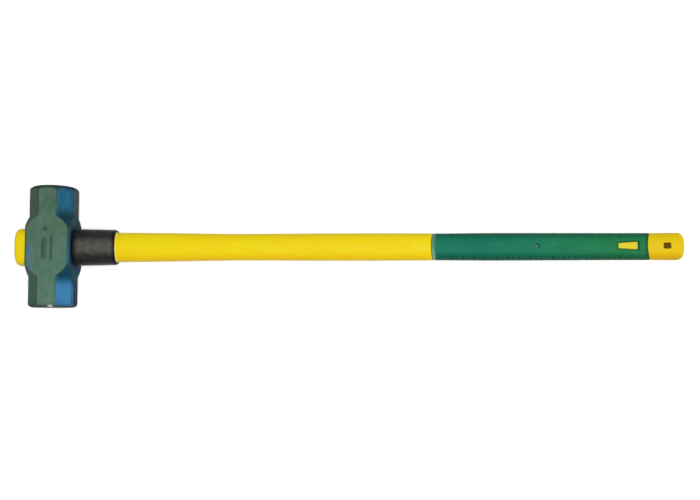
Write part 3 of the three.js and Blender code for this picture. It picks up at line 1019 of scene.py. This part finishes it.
def trapezoid(grow):
    """Corners of the window in the grip, grown all round."""
    start, end = WINDOW_START - grow, WINDOW_END + grow
    narrow, broad = WINDOW_NARROW / 2 + grow, WINDOW_BROAD / 2 + grow
    corners = ((start, -narrow), (end, -broad), (end, broad), (start, narrow))
    return [Vector(corner) for corner in corners]


def window_distance(point):
    """How far a point of the grip is outside the window's outline."""
    corners = trapezoid(WINDOW_GROOVE)
    flat = Vector((point.x, point.y))
    nearest = -1.0
    for start, end in zip(corners, corners[1:] + corners[:1]):
        run = (end - start).normalized()
        nearest = max(nearest, (flat - start).dot(Vector((run.y, -run.x))))
    return nearest


def nub_distance(point):
    """How far a point of the grip is from the middle of the gate's nub."""
    return math.hypot(point.x - GATE_X - NUB_SHIFT, point.y - NUB_SHIFT)


def window_tool():
    """What is cut from the grip for the window, flared a little at the surface."""
    rings = []
    for height, flare in ((0, 0), (0.0139, 0), (0.0146, 0.0002), (0.0152, 0.0008)):
        outline = rounded_outline(trapezoid(WINDOW_GROOVE + flare), 0.0009 + flare)
        rings.append([Vector((p.x, p.y, AXIS_Z + height)) for p in outline])
    return skin("window_tool", rings)


def gate_tool():
    """A ring-shaped dimple with a nub left standing in its middle."""
    top = surface_z(GATE_X, 0)
    profile = [
        (NUB_RADIUS + 0.0002, -GATE_DEPTH), (GATE_RADIUS - 0.0002, -GATE_DEPTH),
        (GATE_RADIUS, -0.0003), (GATE_RADIUS + 0.0003, 0.0001), (GATE_RADIUS + 0.0003, 0.001),
        (NUB_RADIUS - 0.0003, 0.001), (NUB_RADIUS - 0.0003, -0.0003), (NUB_RADIUS, -0.0005),
    ]
    rings = []
    for radius, lift in profile:
        shift = NUB_SHIFT * smooth_step(GATE_RADIUS, NUB_RADIUS, radius)
        ring = []
        for angle in steps(0, 2 * math.pi, 32)[:-1]:
            x = GATE_X + shift + radius * math.cos(angle)
            y = shift + radius * math.sin(angle)
            ring.append(Vector((x, y, top + lift)))
        rings.append(ring)
    return skin("gate_tool", rings, closed=True)


def grip_start_rings():
    """The grip's arched lip and its soft shoulder, eased towards a flat section."""
    lip = arch(START_CENTRE, GRIP_START_ARC)
    rings = [handle_ring(GRIP_WIDTHS, GRIP_START, GRIP_WALL, lip)]
    for turn in steps(0, math.pi / 2, 8):
        inset = SHOULDER_DROP * (1 - math.sin(turn))
        run = SHOULDER_RUN * (1 - math.cos(turn))
        moved_lip = arch(START_CENTRE, GRIP_START_ARC, shift=run)
        rings.append(handle_ring(GRIP_WIDTHS, GRIP_START + run, inset, moved_lip))
    flat = handle_ring(GRIP_WIDTHS, GRIP_STRAIGHT)
    return rings + rings_between(rings[-1], flat, (0.33, 0.66))


def grip_body_rings():
    """The grip's outside as far as the arched seam, with its ribs."""
    rings = [handle_ring(GRIP_WIDTHS, x) for x in steps(GRIP_STRAIGHT, SEAM_CENTRE, 340)]
    for share in (0.25, 0.5, 0.75, 0.95, 1.0):
        inset = SEAM_EDGE if share == 1.0 else 0.0
        seam = arch(SEAM_CENTRE, GRIP_END_ARC, share)
        rings.append(handle_ring(GRIP_WIDTHS, SEAM_CENTRE + share * GRIP_END_ARC, inset, seam))
    for ring in rings:
        cut_ribs(ring)
    return rings


def grip_highlight(point, normal):
    """Painted highlight on the rounded lip of the grip, and a painted glint on the gate's nub."""
    if point.z > AXIS_Z and nub_distance(point) < NUB_RADIUS + 0.0002:
        return 0.5
    into = point.x - arch_x(START_CENTRE, GRIP_START_ARC, min(abs(point.z - AXIS_Z), 0.016))
    low_side = smooth_step(0.004, -0.014, point.y)
    share = 0.35 + 0.4 * low_side + 0.25 * smooth_step(0.010, 0.016, point.y)
    return share * smooth_step(0.0052, 0.0030, into) * smooth_step(-0.0005, 0.0006, into)


def grip_shade(point, normal):
    """Painted shade in the ribs, along the seam, round the window and in the gate's dimple."""
    width = width_at(GRIP_WIDTHS, point.x)
    rib = rib_depth(point.x, point.y, width) / RIB_DEPTH * (0.6 if point.y < 0 else 0.2)
    into = arch_x(SEAM_CENTRE, GRIP_END_ARC, point.z - AXIS_Z) - point.x
    shaded = rib + 0.6 * smooth_step(0.0045, 0.0010, into)
    if point.z > AXIS_Z:
        dimple = smooth_step(0.0036, 0.0029, math.hypot(point.x - GATE_X, point.y))
        dimple *= smooth_step(0.0013, 0.0016, nub_distance(point))
        shaded += 0.75 * smooth_step(0.0022, 0.0004, window_distance(point)) + 0.85 * dimple
    return min(shaded, 0.95)


def grip():
    """The green grip, with its ribs, its window and the dimple of its moulding gate."""
    rings = grip_start_rings() + grip_body_rings()
    seam = arch(SEAM_CENTRE, GRIP_END_ARC)
    rings.append(handle_ring(GRIP_WIDTHS, GRIP_END, GRIP_WALL, seam))
    inside = steps(GRIP_END - 0.012, GRIP_START + 0.004, 30)
    rings += [handle_ring(GRIP_WIDTHS, x, GRIP_WALL) for x in inside]
    piece = skin("grip_sleeve", rings, closed=True)
    cut(piece, window_tool())
    cut(piece, gate_tool())
    measure_all(piece, "pale", grip_highlight)
    measure_all(piece, "groove", grip_shade)
    complete(piece, green_rubber(), ["grip"], 40)


# -------- the inlay in the grip


def inlay_ring(outline, inset=INLAY_SINK, drop=0.0):
    """A ring on that outline which follows the grip's upper side."""
    return [Vector((p.x, p.y, surface_z(p.x, p.y, inset) - drop)) for p in outline]


def inlay_green(point, normal):
    """Greenish towards the two ends of the window."""
    start = smooth_step(0.0075, 0.001, point.x - WINDOW_START)
    finish = smooth_step(0.006, 0.001, WINDOW_END - point.x)
    return 0.12 + 0.46 * start + 0.30 * finish


def grip_inlay(material):
    """The jacket's yellow standing in the grip's window, its top following the grip."""
    rings = [inlay_ring(rounded_outline(trapezoid(0), INLAY_CORNER), GRIP_WALL)]
    for turn in steps(0, math.pi / 2, 5):
        inset = INLAY_EDGE * (1 - math.cos(turn))
        outline = rounded_outline(trapezoid(-inset), INLAY_CORNER - inset)
        rings.append(inlay_ring(outline, drop=INLAY_EDGE * (1 - math.sin(turn))))
    centre = Vector(((WINDOW_START + WINDOW_END) / 2, 0))
    for share in (0.85, 0.6, 0.35, 0.12):
        rings.append(inlay_ring([centre + (p - centre) * share for p in outline]))
    piece = skin("grip_inlay_tab", rings)
    measure_all(piece, "wear_and_sheen", lambda point, normal: 0.3)
    measure_all(piece, "green", inlay_green)
    measure_all(piece, "dirt_and_shade", lambda point, normal: 0.16)
    complete(piece, material, ["grip_inlay"])


# -------- the butt


def hole_distance(x, y):
    """How far a point of the butt is outside the lanyard hole's outline."""
    dx = abs(x - HOLE_X) - HOLE_LENGTH / 2 + HOLE_CORNER
    dy = abs(y) - HOLE_WIDTH / 2 + HOLE_CORNER
    return box_distance(dx, dy, HOLE_CORNER)


def hole_tool():
    """The lanyard hole: a throat with rounded rims that open to the hole's full size."""
    half_depth = width_at(BUTT_WIDTHS, HOLE_X) * SHAFT_ASPECT / 2
    levels = [(half_depth + 0.003, 0.0), (half_depth, 0.0)]
    for turn in steps(0, math.pi / 2, 6)[1:]:
        levels.append((half_depth - HOLE_RIM * (1 - math.cos(turn)), HOLE_RIM * math.sin(turn)))
    levels += [(-z, inset) for z, inset in reversed(levels)]
    corners = [(-1, -1), (1, -1), (1, 1), (-1, 1)]
    rings = []
    for z, inset in levels:
        reach_x, reach_y = HOLE_LENGTH / 2 - inset, HOLE_WIDTH / 2 - 0.5 * inset
        box = [Vector((HOLE_X + a * reach_x, b * reach_y)) for a, b in corners]
        outline = rounded_outline(box, HOLE_CORNER - 0.6 * inset)
        rings.append([Vector((p.x, p.y, AXIS_Z + z)) for p in outline])
    return skin("hole_tool", rings)


def raise_hole_lips(piece):
    """Swells the butt a little round both mouths of the lanyard hole."""
    for vertex in piece.data.vertices:
        x, y, z = vertex.co
        away = hole_distance(x, y)
        if abs(z - AXIS_Z) > BUTT_SKIN and away > -HOLE_RIM - 0.0001:
            vertex.co.z += math.copysign(HOLE_LIP * smooth_step(0.0032, 0.0014, away), z - AXIS_Z)


def butt_film_and_shade(point, normal):
    """A faint brown film all over the butt, but not in its hole, with painted shade added on its
    -Y side.
    """
    # the extra share on the -Y side is painted shade
    low_side = 0.12 * smooth_step(-0.008, -0.017, point.y)
    return (0.20 + low_side) * smooth_step(-0.0004, 0.0004, hole_distance(point.x, point.y))


def tongue_rings():
    """The core's socket and the tongue round it, out to the arched seam."""
    bore = CORE_RADIUS + GAP
    socket = CORE_END + GAP
    tongue = GRIP_WALL + GAP
    reach = GRIP_END_ARC + GAP
    rings = [round_ring(bore * 0.4, socket)]
    rings += [round_ring(bore, x) for x in steps(socket, TONGUE_START, 6)]
    rings.append(handle_ring(GRIP_WIDTHS, TONGUE_START, tongue))
    step = arch(SEAM_CENTRE, reach, shift=-0.0001)
    rings.append(handle_ring(GRIP_WIDTHS, GRIP_END, tongue, step))
    for run, inset in ((0.0, 0.0005), (0.0002, 0.0002), (0.0006, 0.0)):
        seam = arch(SEAM_CENTRE, reach, shift=run)
        rings.append(handle_ring(BUTT_WIDTHS, GRIP_END, inset, seam))
    return rings


def butt_cap(material):
    """The yellow butt: a tongue in the grip, the arched seam, and the rounded end."""
    rings = tongue_rings()
    first, last = GRIP_END + 0.006, BUTT_END - BUTT_CORNER
    rings += rings_between(rings[-1], handle_ring(BUTT_WIDTHS, first), steps(0, 1, 6)[1:])
    rings += [handle_ring(BUTT_WIDTHS, x) for x in steps(first, last, 34)[1:-1]]
    rings += handle_end(BUTT_WIDTHS, BUTT_END, BUTT_CORNER, 14)
    rings += closing_rings(rings[-1])
    piece = skin("butt_cap_end", rings)
    cut(piece, hole_tool())
    raise_hole_lips(piece)
    measure_all(piece, "wear_and_sheen", lambda point, normal: 0.9 * smooth_step(0.835, 0.860, point.x))
    measure_all(piece, "dirt_and_shade", butt_film_and_shade)
    complete(piece, material, ["butt_cap"])


# -------- the studio


def studio_floor():
    """A pale floor that leans with the hammer: it touches the cheek's edge and the butt."""
    slope = (REST_BUTT.z - REST_HEAD.z) / (REST_BUTT.x - REST_HEAD.x)
    middle = (cad_low.x + cad_high.x) / 2
    corners = []
    for dx, dy in ((-1, -1), (1, -1), (1, 1), (-1, 1)):
        x, y = middle + dx * FLOOR_REACH, dy * FLOOR_REACH
        corners.append((x, y, REST_HEAD.z + slope * (x - REST_HEAD.x) - FLOOR_CLEAR))
    mesh = bpy.data.meshes.new("studio_floor")
    mesh.from_pydata(corners, [], [(0, 1, 2, 3)])
    floor = bpy.data.objects.new("studio_floor", mesh)
    bpy.context.scene.collection.objects.link(floor)
    f = Finish("studio_floor", 0.8, 0.2)
    f.colour(f.mix(f.ramp(f.grain(0.5, 2), 0.3, 0.7), tone(247, 247, 247), tone(249, 249, 249)))
    mesh.materials.append(f.material)


def key_light():
    """One soft light, so placed that the shadows hide behind the hammer."""
    light = bpy.data.lights.new("key", "AREA")
    light.shape = "RECTANGLE"
    light.size, light.size_y = KEY_SIZE
    light.energy = KEY_WATTS
    lamp = bpy.data.objects.new("key", light)
    lamp.location = KEY_PLACE
    lamp.rotation_mode = "QUATERNION"
    lamp.rotation_quaternion = (Vector(KEY_AIM) - Vector(KEY_PLACE)).to_track_quat("-Z", "Y")
    bpy.context.scene.collection.objects.link(lamp)


def studio_light():
    """White light from all round, and the key light."""
    world = bpy.data.worlds.new("studio")
    world.use_nodes = True
    background = world.node_tree.nodes["Background"]
    background.inputs["Color"].default_value = (1, 1, 1, 1)
    background.inputs["Strength"].default_value = SKY_STRENGTH
    bpy.context.scene.world = world
    key_light()


def camera():
    """A long look straight down on the hammer, a little below its middle."""
    lens = bpy.data.cameras.new("camera")
    lens.sensor_width = CAMERA_SENSOR
    lens.lens = CAMERA_LENS
    lens.shift_y = CAMERA_SHIFT
    view = bpy.data.objects.new("camera", lens)
    right = Vector((1, 0, 0))
    up = Vector((0, math.cos(CAMERA_TILT), math.sin(CAMERA_TILT)))
    x_axis = right * math.cos(CAMERA_ROLL) + up * math.sin(CAMERA_ROLL)
    y_axis = up * math.cos(CAMERA_ROLL) - right * math.sin(CAMERA_ROLL)
    z_axis = x_axis.cross(y_axis)
    turn = Matrix((x_axis, y_axis, z_axis)).transposed().to_4x4()
    view.matrix_world = Matrix.Translation(CAMERA_PLACE) @ turn
    bpy.context.scene.collection.objects.link(view)
    bpy.context.scene.camera = view


# -------- the scene

bpy.context.scene.view_settings.view_transform = "Standard"
camera()
studio_light()
studio_floor()

yellow = yellow_plastic()
head()
eye_cap(yellow)
jacket(yellow)
collar()
collar_bead()
grip()
grip_inlay(yellow)
butt_cap(yellow)
for node, finish in (("fibreglass_core", glass_fibre()), ("epoxy_fill", epoxy())):
    for material_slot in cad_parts[node].material_slots:
        material_slot.material = finish
